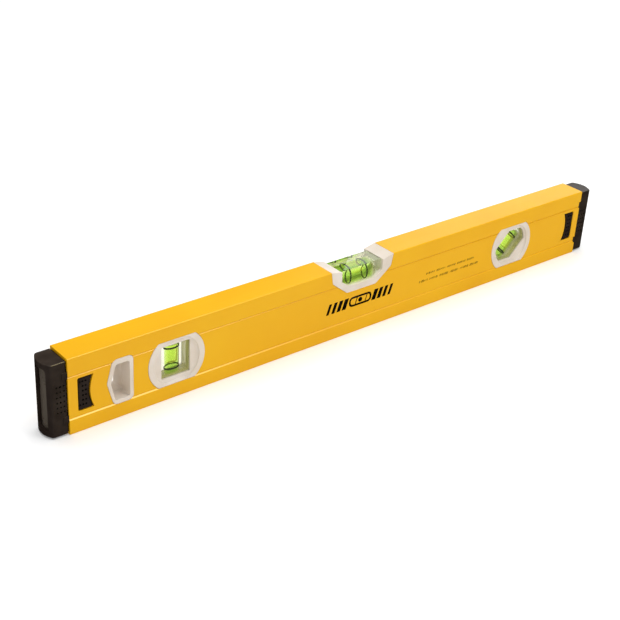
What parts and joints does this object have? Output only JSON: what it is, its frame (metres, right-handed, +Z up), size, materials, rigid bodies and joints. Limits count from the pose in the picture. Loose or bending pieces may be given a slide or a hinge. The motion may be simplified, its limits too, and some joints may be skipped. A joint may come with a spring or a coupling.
{
  "type": "box section spirit level",
  "caption": "Box-section aluminium spirit level with level, plumb and 45 degree vials, plastic end caps and a hanging hole.",
  "frame": {"origin": "centre of the level's plan, on the working face it stands on (z = 0)", "axes": "+X along the level from the hanging hole end to the 45 degree vial end, +Y from the printed front face to the back face, +Z up through the centre vial"},
  "size_m": [0.45, 0.019, 0.049],
  "materials": {
    "yellow_aluminium": "yellow satin paint on extruded aluminium",
    "black_plastic": "moulded, fine satin grain",
    "cream_plastic": "moulded, satin gloss, off-white",
    "clear_acrylic": "clear moulded acrylic, polished",
    "green_fluid": "clear green-yellow liquid",
    "air_bubble": "air in the liquid",
    "black_ink": "printed black line"
  },
  "bodies": {
    "root": {"profile": "yellow_aluminium", "end_cap_left": "black_plastic", "end_cap_right": "black_plastic", "hang_liner_front": "cream_plastic", "hang_liner_back": "cream_plastic", "centre_holder": "cream_plastic", "plumb_bezel_front": "cream_plastic", "plumb_bezel_back": "cream_plastic", "angle_bezel_front": "cream_plastic", "angle_bezel_back": "cream_plastic", "centre_vial_block": "clear_acrylic", "centre_vial_plug": "clear_acrylic", "centre_vial_fluid": "green_fluid", "plumb_vial_block": "clear_acrylic", "plumb_vial_plug": "clear_acrylic", "plumb_vial_fluid": "green_fluid", "angle_vial_block": "clear_acrylic", "angle_vial_plug": "clear_acrylic", "angle_vial_fluid": "green_fluid", "centre_ring_left": "black_ink", "centre_ring_right": "black_ink", "plumb_ring_lower": "black_ink", "plumb_ring_upper": "black_ink", "angle_ring_lower": "black_ink", "angle_ring_upper": "black_ink"},
    "latch_left_front": {"latch_left_front": "black_plastic"},
    "latch_left_back": {"latch_left_back": "black_plastic"},
    "latch_right_front": {"latch_right_front": "black_plastic"},
    "latch_right_back": {"latch_right_back": "black_plastic"},
    "centre_bubble": {"centre_bubble": "air_bubble"},
    "plumb_bubble": {"plumb_bubble": "air_bubble"},
    "angle_bubble": {"angle_bubble": "air_bubble"}
  },
  "joints": [
    {"name": "latch_left_front_press", "type": "hinge", "parent": "root", "child": "latch_left_front", "pos_m": [-0.1906, -0.00655, 0.0241], "axis": [0, 0, -1], "range_deg": [0, 6.5], "stiffness_Nm_per_rad": 1.2},
    {"name": "latch_left_back_press", "type": "hinge", "parent": "root", "child": "latch_left_back", "pos_m": [-0.1906, 0.00655, 0.0241], "axis": [0, 0, 1], "range_deg": [0, 6.5], "stiffness_Nm_per_rad": 1.2},
    {"name": "latch_right_front_press", "type": "hinge", "parent": "root", "child": "latch_right_front", "pos_m": [0.1906, -0.00655, 0.0241], "axis": [0, 0, 1], "range_deg": [0, 6.5], "stiffness_Nm_per_rad": 1.2},
    {"name": "latch_right_back_press", "type": "hinge", "parent": "root", "child": "latch_right_back", "pos_m": [0.1906, 0.00655, 0.0241], "axis": [0, 0, -1], "range_deg": [0, 6.5], "stiffness_Nm_per_rad": 1.2},
    {"name": "centre_bubble_run", "type": "slide", "parent": "root", "child": "centre_bubble", "axis": [1, 0, 0], "range_m": [-0.0055, 0.0055], "stiffness_N_per_m": 0.3},
    {"name": "plumb_bubble_run", "type": "slide", "parent": "root", "child": "plumb_bubble", "axis": [0, 0, 1], "range_m": [-0.0044, 0], "stiffness_N_per_m": 0.3, "springref_m": 0.1},
    {"name": "angle_bubble_run", "type": "slide", "parent": "root", "child": "angle_bubble", "axis": [0.7071, 0, 0.7071], "range_m": [-0.0041, 0], "stiffness_N_per_m": 0.3, "springref_m": 0.1}
  ]
}
